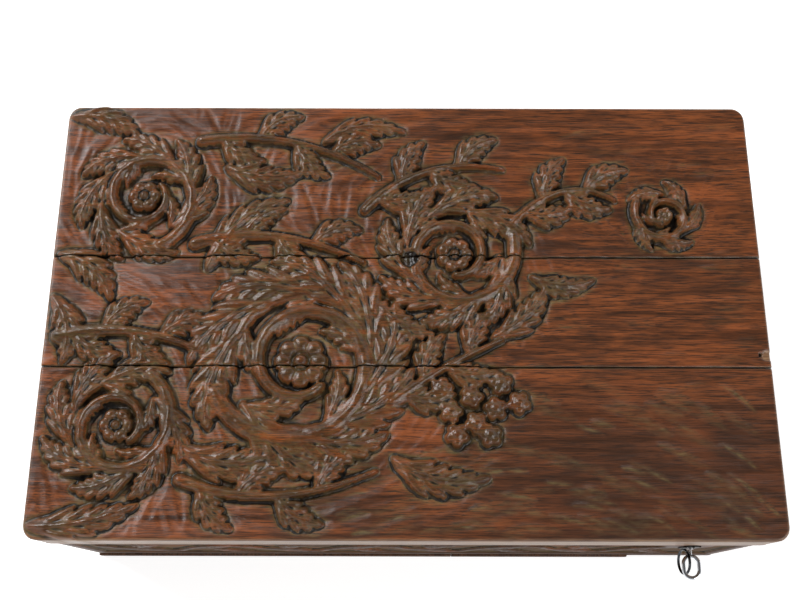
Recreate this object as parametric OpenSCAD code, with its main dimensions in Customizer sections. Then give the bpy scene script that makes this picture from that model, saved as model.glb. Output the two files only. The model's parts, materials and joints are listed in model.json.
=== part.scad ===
// Keepsake box with a carved three-board lid, a nailed body, two butt hinges and a small lock.
// The origin is the middle of the flat underside. X runs along the front from left to right,
// Y runs from the front to the back, and Z runs up. All sizes are in millimetres.

/* [Body] */
// Length of the body from end to end
body_l = 474; // [360:1:700]
// Depth of the body from the front face to the back face
body_d = 314; // [240:1:450]
// Height of the body with its bottom boards, up to the rim
body_h = 112; // [90:1:220]
// Thickness of the front board
front_t = 16; // [15:0.5:24]
// Thickness of the back board
back_t = 14; // [12:0.5:22]
// Thickness of the two end boards
end_t = 14; // [10:0.5:17]
// Thickness of the bottom boards
bottom_t = 10; // [6:0.5:16]
// How far the end boards are let into the front and back boards
housing = 8; // [4:0.5:10]
// How far the three wide bottom boards stand out at the front
bottom_lip = 1.5; // [0:0.1:4]
// Width of the narrow bottom board at the right
bottom_narrow_w = 65; // [40:1:120]
// Open seam between neighbouring bottom boards
bottom_seam = 0.5; // [0.2:0.1:2]

/* [Lid] */
// Overhang of the lid past each end of the body
lid_over = 13; // [0:0.5:30]
// Thickness of the lid boards at their edges
lid_t = 32; // [18:0.5:50]
// Height of the carved masses above the lid's ground
carve_h = 7; // [0:0.5:10]
// Gap between the rim of the body and the underside of the lid
lid_gap = 0.4; // [0.3:0.1:2]
// Share of the lid's depth that the front board takes, in per cent
front_share = 36.9; // [25:0.1:45]
// Share of the lid's depth that the middle board takes, in per cent
middle_share = 25.4; // [15:0.1:40]
// Open seam between neighbouring lid boards
lid_seam = 0.7; // [0.2:0.1:3]
// Radius of the lid's four upright corners
lid_corner_r = 10; // [2:0.5:30]
// Radius of the worn upper edge round the lid
lid_edge_r = 2; // [1:0.5:8]

/* [Lid battens] */
// Width of each batten under the lid
batten_w = 34; // [20:1:60]
// Thickness of each batten
batten_t = 16; // [10:0.5:25]
// Place of each batten between the middle and the end of the lid, in per cent
batten_share = 52; // [35:1:65]
// Room between the end of a batten and the board it comes down beside
batten_room = 8; // [3:0.5:20]
// Radius of the shank of a batten screw
batten_screw_r = 2; // [1.2:0.1:3]
// Length of a batten screw
batten_screw_l = 34; // [24:1:40]

/* [Nails] */
// Radius of the shank of a nail
nail_r = 1.1; // [0.6:0.1:2]
// Radius of the head of a nail
nail_head_r = 2.5; // [1.5:0.1:4]
// Thickness of the head of a nail
nail_head_t = 1; // [0.5:0.1:2]
// Length of a corner nail
corner_nail_l = 22; // [18:1:22]
// Length of a bottom nail
bottom_nail_l = 32; // [20:1:45]

/* [Hinges] */
// Length of each butt hinge
hinge_l = 60; // [40:1:100]
// Distance of each hinge from the end of the body
hinge_in = 47; // [20:1:80]
// Thickness of a hinge leaf
leaf_t = 1.8; // [1.2:0.1:2.5]
// Depth of a hinge leaf over the wood
leaf_d = 12; // [9:0.5:13]
// Outer radius of the knuckles
knuckle_r = 3.2; // [2.8:0.1:4.5]
// Radius of the hinge pin
hinge_pin_r = 1.3; // [1:0.05:1.6]
// Running clearance round the hinge pin
hinge_pin_fit = 0.05; // [0.02:0.01:0.1]
// Gap between neighbouring knuckles and round each knuckle
knuckle_gap = 0.4; // [0.3:0.1:1]
// Radius of the heads of the hinge screws
hinge_screw_head_r = 2.6; // [2:0.1:3.5]
// Radius of the shanks of the hinge screws
hinge_screw_r = 1.3; // [1:0.1:2]
// Length of a hinge screw
hinge_screw_l = 14; // [8:1:20]

/* [Lock] */
// Distance of the keyhole from the right end of the body
key_in = 41; // [41:1:120]
// Depth of the key below the rim
key_below = 13; // [12.5:0.5:16]
// Width of the lock case
case_w = 42; // [42:0.5:44]
// Height of the lock case
case_h = 30; // [28:0.5:40]
// Depth of the lock case in the front board
case_d = 10.8; // [10.8:0.1:12]
// Thickness of the sheet that the lock case is made of
sheet_t = 1.2; // [0.8:0.1:1.5]
// Thickness of the back plate and of the top plate of the lock
plate_t = 1.5; // [1:0.1:2]
// How far the back plate stands out past the case
plate_rim = 6; // [5:0.5:8]
// Clearance round the lock in its recess
recess_fit = 0.2; // [0.1:0.05:0.5]
// Throw of the bolt
bolt_throw = 7; // [5:0.5:7]
// Length of the body of the bolt
bolt_l = 18; // [16:0.5:20]
// Height of the bolt
bolt_h = 7; // [6:0.5:7.5]
// Clearance of the bolt in the case
bolt_fit = 0.35; // [0.3:0.05:0.6]
// Width of the staple that the bolt passes through
staple_w = 4; // [3:0.5:5]
// Thickness of the nose of the bolt
nose_t = 3; // [2:0.5:3.5]
// Radius of the pin that the key turns on
key_pin_r = 1; // [0.8:0.05:1.2]
// Running clearance of the key on its pin
key_pin_fit = 0.05; // [0.02:0.01:0.1]
// Radius of a lock screw
lock_screw_r = 1.1; // [0.8:0.1:1.4]
// Width of the keyhole plate on the front
scutcheon_w = 12; // [10:0.5:18]
// Height of the keyhole plate on the front
scutcheon_h = 24; // [22:0.5:24]
// Thickness of the keyhole plate
scutcheon_t = 0.8; // [0.5:0.1:1.5]

/* [Key and ring] */
// Outer radius of the barrel of the key
barrel_r = 2.4; // [2:0.1:2.6]
// Radius of the stem between the barrel and the bow
stem_r = 1; // [0.9:0.05:1]
// Reach of the key's bit from the middle of the barrel
bit_r = 6.5; // [5.5:0.1:6.5]
// Thickness of the bit
bit_t = 1.6; // [1.2:0.1:1.8]
// Radius of the wire of the bow
bow_wire_r = 1.3; // [0.9:0.05:1.3]
// Outer width of the bow
bow_w = 13.2; // [13.2:0.1:16]
// Outer length of the bow
bow_l = 17.2; // [17:0.1:20]
// Distance from the front face to the near side of the bow
bow_out = 5; // [5:0.1:5.4]
// Radius of the split ring to the middle of its wire
ring_r = 8.25; // [8:0.05:8.5]
// Radius of the wire of the split ring
ring_wire_r = 0.5; // [0.3:0.05:0.5]
// Lean of the ring to the left as it hangs
ring_lean = 12; // [-20:1:13]

/* [Hidden] */
$fn = 64;
tiny = 0.01;
lid_l = body_l + 2 * lid_over;
lid_z = body_h + lid_gap;
lid_top = lid_z + lid_t;
front_y = -body_d / 2;
back_y = body_d / 2;
seam_front_y = front_y + body_d * front_share / 100;
seam_back_y = seam_front_y + body_d * middle_share / 100;
inner_x = body_l / 2 - end_t;
inner_front_y = front_y + front_t;
inner_back_y = back_y - back_t;
narrow_x = body_l / 2 - bottom_narrow_w;
wide_w = (body_l - bottom_narrow_w) / 3;
pin_y = back_y + knuckle_r + knuckle_gap;
pin_z = body_h + lid_gap / 2;
hinge_x = body_l / 2 - hinge_in - hinge_l / 2;
batten_x = lid_l / 2 * batten_share / 100;
key_x = body_l / 2 - key_in;
key_z = body_h - key_below;
case_x0 = key_x - case_w / 2 - 4;
case_x1 = case_x0 + case_w;
case_y0 = inner_front_y - case_d;
case_z0 = body_h - plate_t - case_h;
bolt_z0 = key_z + 3.5;
bolt_x0 = key_x + (bolt_throw - bolt_l) / 2;
notch_w = 8.8;
staple_room = 0.4;
staple_h = 9.4;
staple_slot_room = 0.7;
staple_slot_d = 7.4;
nose_room = 0.4;
key_pin_l = 12.5;
barrel_out = 1.6;
pin_head_h = 1.2;
pin_head_r = 2.3;
pin_head_edge_r = 1.6;
staple_x = bolt_x0 - bolt_throw - staple_room - staple_w;
link_d = 12;
nose_y = inner_front_y - 5.5;
nose_z = bolt_z0 + 4;
bit_y0 = inner_front_y - 7.6;
bit_y1 = inner_front_y - 3.4;
bow_mid_r = bow_w / 2 - bow_wire_r;
bow_straight = bow_l - bow_w;
bow_near_y = front_y - bow_out - bow_w / 2;
bow_far_y = bow_near_y - bow_straight;
ring_hang_x = key_x - 2.4;
ring_drop = 5;
ring_room = 0.35;
ring_y = front_y - scutcheon_t - ring_room - ring_wire_r - ring_r;
corner_nail_z = [26, 62, body_h - 14];
bottom_nail_in = 6;
bottom_nail_at = [0.2, 0.8];
end_nail_y = [-80, 0, 80];
nail_point_l = 2;
batten_screw_out = [-68, -20, 20];
hinge_screw_in = 8;
hinge_screw_share = 0.55;
lock_screw_l = 9;
link_screw_l = 11;
scutcheon_pin_z = [key_z - 11, key_z + 9];
keyhole_room = 0.6;
layout_l = 500;
layout_d = 314;
leaf_rise = 0.52;
stem_rise = 0.7;
berry_rise = 0.82;
leaf_steps = 6;
stem_steps = 8;
spiral_steps = 26;
spiral_turn = 470;
spiral_in = 0.35;
carve_root = 1;
rose_share = 0.27;
rose_facets = 24;
berry_r = 8.2;
winding_w = 0.085;
winding_extra = 1.4;
winding_taper = 0.45;
stem_taper = 0.6;
scroll_leaf_turn = 330;
scroll_leaf_w = 0.24;
stem_leaf_w = 9.5;
// Where a leaf of a scroll starts, bends and ends: degrees further round, share of the radius
SCROLL_LEAF = [[0, 0.78], [43, 1.16], [66, 1.24]];
// Where a leaf beside a stem bends and ends: along the stem, away from it
STEM_LEAF = [[10, 18], [30, 20]];
// Where the leaves stand beside a stem, as shares of its length
STEM_LEAF_AT = [0.12, 0.32, 0.52, 0.72];
// Scrolls: middle, radius, where the stem starts in degrees, way it winds, leaves round it
SCROLLS = [
    [-72, -38, 62, 200, 1, 9], [34, 40, 44, 20, -1, 7], [-188, 84, 40, 290, 1, 7], [-194, -82, 40, 60, -1, 7],
    [184, 70, 22, 150, 1, 5]
];
// Stems between the scrolls: start, the point they bend towards, end, half their width
RUNS = [
    [[-240, -20], [-190, -8], [-142, -30], 5.5], [[-150, 48], [-96, 66], [-30, 34], 5],
    [[-150, 128], [-80, 140], [-20, 100], 4.2], [[76, 64], [112, 104], [150, 82], 3.6],
    [[-30, 74], [10, 118], [70, 106], 3.8], [[-10, -66], [24, -40], [66, -22], 4],
    [[-150, -118], [-90, -142], [-20, -112], 4.5]
];
// Loose leaves: stalk, the point they bend towards, tip, half their width
SPRAYS = [
    [[-244, 40], [-214, 34], [-206, 6], 12], [[-246, 8], [-226, -14], [-236, -40], 11],
    [[-150, -96], [-118, -118], [-84, -98], 13], [[-246, 148], [-214, 150], [-196, 132], 10],
    [[-246, -148], [-210, -150], [-176, -134], 11], [[-140, 30], [-120, 74], [-84, 82], 12],
    [[-130, 108], [-104, 92], [-74, 104], 11], [[-20, 4], [-6, -16], [20, -18], 10],
    [[60, -20], [88, -8], [98, 18], 10], [[-8, -104], [18, -126], [56, -116], 12],
    [[88, 24], [108, 10], [132, 22], 8], [[-60, 128], [-34, 146], [0, 136], 9]
];
// Berries: the middle of each
BERRIES = [
    [44, -62], [60, -70], [47, -80], [30, -72], [64, -53], [76, -66], [24, -56], [56, -88], [34, -88]
];

// One countersunk screw, head up at the origin, pointing down
module screw(r, head_r, l) {
    translate([0, 0, -l + head_r]) cylinder(h = l - head_r, r = r);
    translate([0, 0, -head_r + r]) cylinder(h = head_r - r, r1 = r, r2 = head_r);
    translate([0, 0, -head_r]) cylinder(h = head_r - r, r = r);
    translate([0, 0, -l]) cylinder(h = head_r, r1 = 0.3, r2 = r);
}

// One flat-headed nail, head up at the origin, pointing down
module nail(l) {
    translate([0, 0, -nail_head_t]) cylinder(h = nail_head_t, r = nail_head_r);
    translate([0, 0, nail_point_l - l]) cylinder(h = l - nail_point_l - nail_head_t, r = nail_r);
    translate([0, 0, -l]) cylinder(h = nail_point_l, r1 = 0.3, r2 = nail_r);
}

// The places of the nails that are driven through the ends into the front and back boards
module corner_nail_set() {
    for (side = [-1, 1])
        for (z = corner_nail_z)
            for (y = [inner_front_y - 4, inner_back_y + 3])
                translate([side * body_l / 2, y, z]) rotate([0, side * 90, 0]) nail(corner_nail_l);
}

// The places of the nails that hold the bottom boards, driven up from below
module bottom_nail_set() {
    for (i = [0 : 2])
        for (part = bottom_nail_at)
            for (y = [front_y + bottom_nail_in, back_y - bottom_nail_in])
                translate([-body_l / 2 + wide_w * (i + part), y, 0]) rotate([180, 0, 0]) nail(bottom_nail_l);
    for (y = [front_y + bottom_nail_in, back_y - bottom_nail_in])
        translate([narrow_x + bottom_narrow_w / 2, y, 0]) rotate([180, 0, 0]) nail(bottom_nail_l);
    for (side = [-1, 1])
        for (y = end_nail_y)
            translate([side * (body_l / 2 - end_t / 2), y, 0]) rotate([180, 0, 0]) nail(bottom_nail_l);
}

// The places of the screws that hold the battens, driven up from below
module batten_screw_set() {
    for (side = [-1, 1])
        for (out = batten_screw_out)
            for (y = [seam_front_y + out, seam_back_y - out])
                translate([side * batten_x, y, lid_z - batten_t]) rotate([180, 0, 0])
                    screw(batten_screw_r, batten_screw_r + 2, batten_screw_l);
}

// The places of the screws in the two hinges, pointing down for the body and up for the lid
module hinge_screw_set(up) {
    for (side = [-1, 1])
        for (dx = (hinge_l / 2 - hinge_screw_in) * [-1, 0, 1])
            translate([side * hinge_x + dx, back_y - leaf_d * hinge_screw_share, up ? lid_z : body_h])
                rotate([up ? 180 : 0, 0, 0]) screw(hinge_screw_r, hinge_screw_head_r, hinge_screw_l);
}

// The places of the screws that hold the back plate of the lock, driven in from inside the box
module lock_screw_set() {
    for (x = [case_x0 - plate_rim / 2, case_x1 + plate_rim / 2])
        for (z = [case_z0 + 2, body_h - 9])
            translate([x, inner_front_y, z]) rotate([-90, 0, 0])
                screw(lock_screw_r, lock_screw_r + 1, lock_screw_l);
}

// The places of the two screws in the link plate, driven up into the lid
module link_screw_set() {
    for (x = [case_x0 - 1, case_x1 - 4])
        translate([x, nose_y, lid_z]) rotate([180, 0, 0])
            screw(lock_screw_r, lock_screw_r + 1.2, link_screw_l);
}

// The places of the pins in the keyhole plate
module scutcheon_pin_set() {
    for (z = scutcheon_pin_z)
        translate([key_x, front_y - scutcheon_t, z]) rotate([90, 0, 0]) {
            cylinder(h = 0.5, r1 = 1.1, r2 = 0.7);
            translate([0, 0, -5]) cylinder(h = 5, r = 0.6);
        }
}

// A round keyhole with a slot below it, cut along Y from y0 to y1
module keyhole(y0, y1, room) {
    translate([key_x, y1, key_z]) rotate([90, 0, 0]) cylinder(h = y1 - y0, r = barrel_r + room);
    translate([key_x - bit_t / 2 - room, y0, key_z - bit_r - room])
        cube([bit_t + 2 * room, y1 - y0, bit_r + room]);
}

// A point of a stroke from a to c that is drawn towards b
function curve(a, b, c, t) = (1 - t) * (1 - t) * a + 2 * t * (1 - t) * b + t * t * c;

// The direction across such a stroke
function beside(a, b, c, t) =
    let (d = (1 - t) * (b - a) + t * (c - b)) [-d[1], d[0]] / norm(d);

// A point at an angle and a distance from the middle of a scroll
function around(s, angle, share) = [s[0], s[1]] + s[2] * share * [cos(angle), sin(angle)];

// A band along a line of points, with half its width at each of them
module band(points, across, half) {
    last = len(points) - 1;
    polygon(concat(
        [for (i = [0 : last]) points[i] + half[i] * across[i]],
        [for (i = [last : -1 : 0]) points[i] - half[i] * across[i]]
    ));
}

// A leaf from its stalk a to its tip c, bent towards b, with half its greatest width w
module leaf(a, b, c, w) {
    share = [for (i = [0 : leaf_steps]) i / leaf_steps];
    band([for (t = share) curve(a, b, c, t)], [for (t = share) beside(a, b, c, t)],
         [for (t = share) w * pow(sin(180 * pow(0.05 + 0.93 * t, 0.75)), 0.8)]);
}

// A stem from a to c, bent towards b, with half its width w at the start
module stem(a, b, c, w) {
    share = [for (i = [0 : stem_steps]) i / stem_steps];
    band([for (t = share) curve(a, b, c, t)], [for (t = share) beside(a, b, c, t)],
         [for (t = share) w * (1 - stem_taper * t)]);
}

// The winding stem of one scroll
module winding(s) {
    share = [for (i = [0 : spiral_steps]) i / spiral_steps];
    angles = [for (t = share) s[3] + s[4] * t * spiral_turn];
    band([for (i = [0 : spiral_steps]) around(s, angles[i], pow(spiral_in, share[i]))],
         [for (a = angles) [cos(a), sin(a)]],
         [for (t = share) (winding_w * s[2] + winding_extra) * (1 - winding_taper * t)]);
}

// The leaves round one scroll
module scroll_leaves(s) {
    for (i = [0 : s[5] - 1]) {
        a = s[3] + s[4] * (i + 0.5) * scroll_leaf_turn / s[5];
        at = [for (p = SCROLL_LEAF) around(s, a + s[4] * p[0], p[1])];
        leaf(at[0], at[1], at[2], scroll_leaf_w * s[2]);
    }
}

// The leaves beside one stem, left and right by turns
module stem_leaves(run) {
    for (k = [0 : len(STEM_LEAF_AT) - 1]) {
        root = curve(run[0], run[1], run[2], STEM_LEAF_AT[k]);
        left = beside(run[0], run[1], run[2], STEM_LEAF_AT[k]);
        out = k % 2 == 0 ? -left : left;
        on = [left[1], -left[0]];
        at = [for (p = STEM_LEAF) root + p[0] * on + p[1] * out];
        leaf(root, at[0], at[1], stem_leaf_w);
    }
}

// All carved masses that stand above the ground of the lid, laid out on a lid of layout_l by layout_d
module carving() {
    translate([0, 0, lid_top - carve_root]) {
        linear_extrude(carve_root + leaf_rise * carve_h) {
            for (s = SCROLLS)
                scroll_leaves(s);
            for (run = RUNS)
                stem_leaves(run);
            for (spray = SPRAYS)
                leaf(spray[0], spray[1], spray[2], spray[3]);
        }
        linear_extrude(carve_root + stem_rise * carve_h) {
            for (s = SCROLLS)
                winding(s);
            for (run = RUNS)
                stem(run[0], run[1], run[2], run[3]);
        }
        for (s = SCROLLS)
            translate([s[0], s[1]])
                cylinder(h = carve_root + carve_h, r = rose_share * s[2], $fn = rose_facets);
        for (p = BERRIES)
            translate([p[0], p[1]])
                cylinder(h = carve_root + berry_rise * carve_h, r = berry_r, $fn = rose_facets);
    }
}

// The outline of the whole lid in plan
module lid_plan() {
    for (sx = [-1, 1])
        for (sy = [-1, 1])
            translate([sx * (lid_l / 2 - lid_corner_r), sy * (body_d / 2 - lid_corner_r)])
                circle(r = lid_corner_r);
    square([lid_l, body_d - 2 * lid_corner_r], center = true);
    square([lid_l - 2 * lid_corner_r, body_d], center = true);
}

// One lid board between two depths, with its share of the carving and of the worn edge
module lid_board(y0, y1) {
    difference() {
        intersection() {
            union() {
                translate([0, 0, lid_z]) linear_extrude(lid_t) lid_plan();
                intersection() {
                    scale([lid_l / layout_l, body_d / layout_d, 1]) carving();
                    translate([0, 0, lid_z]) linear_extrude(lid_t + carve_h + 1) lid_plan();
                }
            }
            translate([-lid_l, y0, lid_z - 1]) cube([2 * lid_l, y1 - y0, lid_t + carve_h + 2]);
        }
        for (sx = [-1, 1])
            translate([sx * lid_l / 2, 0, lid_top]) edge_cut(body_d + 2, sx);
        for (sy = [-1, 1])
            translate([0, sy * body_d / 2, lid_top]) rotate([0, 0, 90]) edge_cut(lid_l + 2, sy);
    }
}

// The sliver that is worn off a straight upper edge that runs along Y
module edge_cut(l, side) {
    difference() {
        translate([side > 0 ? -lid_edge_r : -1, -l / 2, -lid_edge_r])
            cube([lid_edge_r + 1, l, lid_edge_r + 1 + carve_h]);
        translate([-side * lid_edge_r, l / 2 + 1, -lid_edge_r]) rotate([90, 0, 0])
            cylinder(h = l + 2, r = lid_edge_r);
    }
}

// The recess for one hinge leaf, cut into the rim or into the underside of the lid
module leaf_recess(side, z) {
    translate([side * hinge_x - hinge_l / 2, back_y - leaf_d, z]) cube([hinge_l, leaf_d + 1, leaf_t]);
}

module lid_board_front() {
    color("#6b4430") difference() {
        lid_board(front_y, seam_front_y - lid_seam / 2);
        batten_screw_set();
        link_screw_set();
        translate([case_x0 - plate_rim, nose_y - link_d / 2, lid_z - tiny])
            cube([case_w, link_d, plate_t + tiny]);
    }
}

module lid_board_middle() {
    color("#674230") difference() {
        lid_board(seam_front_y + lid_seam / 2, seam_back_y - lid_seam / 2);
        batten_screw_set();
    }
}

module lid_board_back() {
    color("#65402e") difference() {
        lid_board(seam_back_y + lid_seam / 2, back_y);
        batten_screw_set();
        hinge_screw_set(true);
        for (side = [-1, 1])
            leaf_recess(side, lid_z);
        translate([-lid_l, back_y - 20, lid_z - 5]) cube([2 * lid_l, 40, 5]);
    }
}

module lid_batten(side) {
    y0 = inner_front_y + batten_room;
    y1 = inner_back_y - batten_room;
    difference() {
        translate([side * batten_x - batten_w / 2, y0, lid_z - batten_t]) cube([batten_w, y1 - y0, batten_t]);
        for (y = [y0, y1])
            translate([side * batten_x, y, lid_z - batten_t]) rotate([45, 0, 0])
                cube([batten_w + 2, 6, 6], center = true);
        for (sx = [-1, 1])
            translate([side * batten_x + sx * batten_w / 2, (y0 + y1) / 2, lid_z - batten_t])
                rotate([0, 45, 0]) cube([3, y1 - y0 + 2, 3], center = true);
        batten_screw_set();
    }
}

module lid_batten_left() {
    color("#5c3a28") lid_batten(-1);
}

module lid_batten_right() {
    color("#5c3a28") lid_batten(1);
}

module batten_screws() {
    color("#6e6a63") batten_screw_set();
}

module front_board() {
    color("#604834") difference() {
        translate([-body_l / 2, front_y, bottom_t]) cube([body_l, front_t, body_h - bottom_t]);
        for (sx = [-1, 1])
            translate([sx > 0 ? inner_x : -body_l / 2 - 1, front_y + housing, 0])
                cube([end_t + 1, front_t, body_h + 1]);
        translate([case_x0 - recess_fit, case_y0 - recess_fit, case_z0 - recess_fit])
            cube([case_w + 2 * recess_fit, front_t, body_h]);
        translate([case_x0 - plate_rim, inner_front_y - plate_t, case_z0 - plate_rim / 2])
            cube([case_w + 2 * plate_rim, plate_t + 1, body_h]);
        translate([case_x0 - plate_rim, case_y0 - 1, body_h - plate_t])
            cube([case_w + 2 * plate_rim, front_t, body_h]);
        keyhole(front_y - 1, case_y0, keyhole_room);
        lock_screw_set();
        scutcheon_pin_set();
        corner_nail_set();
        bottom_nail_set();
    }
}

module back_board() {
    color("#5f4432") difference() {
        translate([-body_l / 2, inner_back_y, bottom_t]) cube([body_l, back_t, body_h - bottom_t]);
        for (sx = [-1, 1])
            translate([sx > 0 ? inner_x : -body_l / 2 - 1, inner_back_y - 1, 0])
                cube([end_t + 1, back_t - housing + 1, body_h + 1]);
        for (side = [-1, 1])
            leaf_recess(side, body_h - leaf_t);
        hinge_screw_set(false);
        corner_nail_set();
        bottom_nail_set();
    }
}

module end_board(side) {
    difference() {
        translate([side > 0 ? inner_x : -body_l / 2, front_y + housing, bottom_t])
            cube([end_t, body_d - 2 * housing, body_h - bottom_t]);
        corner_nail_set();
        bottom_nail_set();
    }
}

module end_board_left() {
    color("#644733") end_board(-1);
}

module end_board_right() {
    color("#644733") end_board(1);
}

module bottom_board(x0, x1, lip) {
    difference() {
        translate([x0, front_y - lip, 0]) cube([x1 - x0, body_d + lip, bottom_t]);
        bottom_nail_set();
    }
}

module bottom_board_left() {
    color("#59402f") bottom_board(-body_l / 2, -body_l / 2 + wide_w - bottom_seam / 2, bottom_lip);
}

module bottom_board_mid_left() {
    color("#5b4230")
        bottom_board(-body_l / 2 + wide_w + bottom_seam / 2, narrow_x - wide_w - bottom_seam / 2, bottom_lip);
}

module bottom_board_mid_right() {
    color("#573e2d")
        bottom_board(narrow_x - wide_w + bottom_seam / 2, narrow_x - bottom_seam / 2, bottom_lip);
}

module bottom_board_narrow() {
    color("#5d4432") bottom_board(narrow_x + bottom_seam / 2, body_l / 2, 0);
}

module corner_nails() {
    color("#4b4640") corner_nail_set();
}

module bottom_nails() {
    color("#4b4640") bottom_nail_set();
}

// One hinge leaf with its knuckles: two on the body's leaf, one on the lid's leaf
module hinge_leaf(side, lid) {
    x0 = side * hinge_x - hinge_l / 2;
    third = hinge_l / 3;
    spans = lid ? [[third + knuckle_gap, 2 * third - knuckle_gap]] : [[0, third], [2 * third, hinge_l]];
    z0 = lid ? lid_z : body_h - leaf_t;
    difference() {
        union() {
            translate([x0, back_y - leaf_d, z0]) cube([hinge_l, leaf_d, leaf_t]);
            for (s = spans) {
                translate([x0 + s[0], back_y - 1, z0]) cube([s[1] - s[0], pin_y - back_y + 1, leaf_t]);
                translate([x0 + s[0], pin_y, pin_z]) rotate([0, 90, 0])
                    cylinder(h = s[1] - s[0], r = knuckle_r);
            }
        }
        translate([x0 - 1, pin_y, pin_z]) rotate([0, 90, 0])
            cylinder(h = hinge_l + 2, r = hinge_pin_r + hinge_pin_fit);
        hinge_screw_set(lid);
    }
}

module hinge_pin(side) {
    translate([side * hinge_x - hinge_l / 2, pin_y, pin_z]) rotate([0, 90, 0]) {
        cylinder(h = hinge_l, r = hinge_pin_r);
        translate([0, 0, -pin_head_h]) cylinder(h = pin_head_h, r1 = pin_head_edge_r, r2 = pin_head_r);
        translate([0, 0, hinge_l]) cylinder(h = pin_head_h, r1 = pin_head_r, r2 = pin_head_edge_r);
    }
}

module hinge_left_body_leaf() {
    color("#8a7a55") hinge_leaf(-1, false);
}

module hinge_left_lid_leaf() {
    color("#8a7a55") hinge_leaf(-1, true);
}

module hinge_left_pin() {
    color("#77684a") hinge_pin(-1);
}

module hinge_right_body_leaf() {
    color("#8a7a55") hinge_leaf(1, false);
}

module hinge_right_lid_leaf() {
    color("#8a7a55") hinge_leaf(1, true);
}

module hinge_right_pin() {
    color("#77684a") hinge_pin(1);
}

module hinge_body_screws() {
    color("#94845c") hinge_screw_set(false);
}

module hinge_lid_screws() {
    color("#94845c") hinge_screw_set(true);
}

module lock_case() {
    wall_y = case_y0 + sheet_t;
    color("#6d6a64") difference() {
        union() {
            translate([case_x0 - plate_rim, inner_front_y - plate_t, case_z0 - plate_rim / 2])
                cube([case_w + 2 * plate_rim, plate_t, body_h - case_z0 + plate_rim / 2]);
            translate([case_x0 - plate_rim, case_y0 - 1, body_h - plate_t])
                cube([case_w + 2 * plate_rim, case_d + 1, plate_t]);
            difference() {
                translate([case_x0, wall_y, case_z0]) cube([case_w, case_d - sheet_t, case_h]);
                translate([case_x0 + sheet_t, wall_y - 1, case_z0 + sheet_t])
                    cube([case_w - 2 * sheet_t, case_d - sheet_t - plate_t + 1, case_h - sheet_t]);
            }
            for (span = [[case_x0, key_x - bit_r - 1], [key_x + bit_r + 1, case_x1]])
                translate([span[0] + tiny, wall_y, bolt_z0 - bolt_fit - 1])
                    cube([span[1] - span[0] - 2 * tiny, case_d - sheet_t - plate_t, 1]);
        }
        translate([staple_x - staple_slot_room, nose_y - staple_slot_d / 2, body_h - plate_t - 1])
            cube([staple_w + 2 * staple_slot_room, staple_slot_d, plate_t + 2]);
        translate([key_x, inner_front_y + 1, key_z]) rotate([90, 0, 0])
            cylinder(h = plate_t + 2, r = key_pin_r);
        lock_screw_set();
    }
}

module lock_cap() {
    color("#75726b") difference() {
        translate([case_x0, case_y0, case_z0]) cube([case_w, sheet_t, case_h]);
        keyhole(case_y0 - 1, case_y0 + sheet_t + 1, keyhole_room);
    }
}

module lock_key_pin() {
    color("#8f8c86") translate([key_x, inner_front_y, key_z]) rotate([90, 0, 0])
        cylinder(h = key_pin_l, r = key_pin_r);
}

module lock_bolt() {
    y0 = case_y0 + sheet_t + bolt_fit;
    y1 = inner_front_y - plate_t - bolt_fit;
    color("#a38f5d") difference() {
        union() {
            translate([bolt_x0, y0, bolt_z0]) cube([bolt_l, y1 - y0, bolt_h]);
            translate([bolt_x0 - bolt_throw, nose_y - nose_t / 2, nose_z - nose_t / 2])
                cube([bolt_throw + 1, nose_t, nose_t]);
        }
        translate([bolt_x0 + (bolt_l - notch_w) / 2, y0 - 1, bolt_z0 - 1]) cube([notch_w, y1 - y0 + 2, 4.5]);
    }
}

module lock_screws() {
    color("#7d7a73") lock_screw_set();
}

module link_plate() {
    color("#6d6a64") difference() {
        union() {
            translate([case_x0 - plate_rim, nose_y - link_d / 2, lid_z]) cube([case_w, link_d, plate_t]);
            translate([staple_x, nose_y - link_d / 4, lid_z - staple_h])
                cube([staple_w, link_d / 2, staple_h + tiny]);
        }
        translate([staple_x - 1, nose_y - nose_t / 2 - nose_room, nose_z - nose_t / 2 - nose_room])
            cube([staple_w + 2, nose_t + 2 * nose_room, nose_t + 2 * nose_room]);
        link_screw_set();
    }
}

module link_plate_screws() {
    color("#7d7a73") link_screw_set();
}

module keyhole_plate() {
    color("#3b3833") difference() {
        union() {
            translate([key_x - scutcheon_w / 2, front_y - scutcheon_t, key_z - scutcheon_h / 2 + 3.5])
                cube([scutcheon_w, scutcheon_t, scutcheon_h - 9]);
            for (z = [key_z - scutcheon_h / 2 + 3.5, key_z + scutcheon_h / 2 - 5.5])
                translate([key_x, front_y, z]) rotate([90, 0, 0]) cylinder(h = scutcheon_t, r = 4.5);
        }
        keyhole(front_y - 2, front_y + 1, keyhole_room);
        for (z = scutcheon_pin_z)
            translate([key_x, front_y + 1, z]) rotate([90, 0, 0]) cylinder(h = 3, r = 0.6);
    }
}

module keyhole_plate_pins() {
    color("#57534c") scutcheon_pin_set();
}

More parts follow.
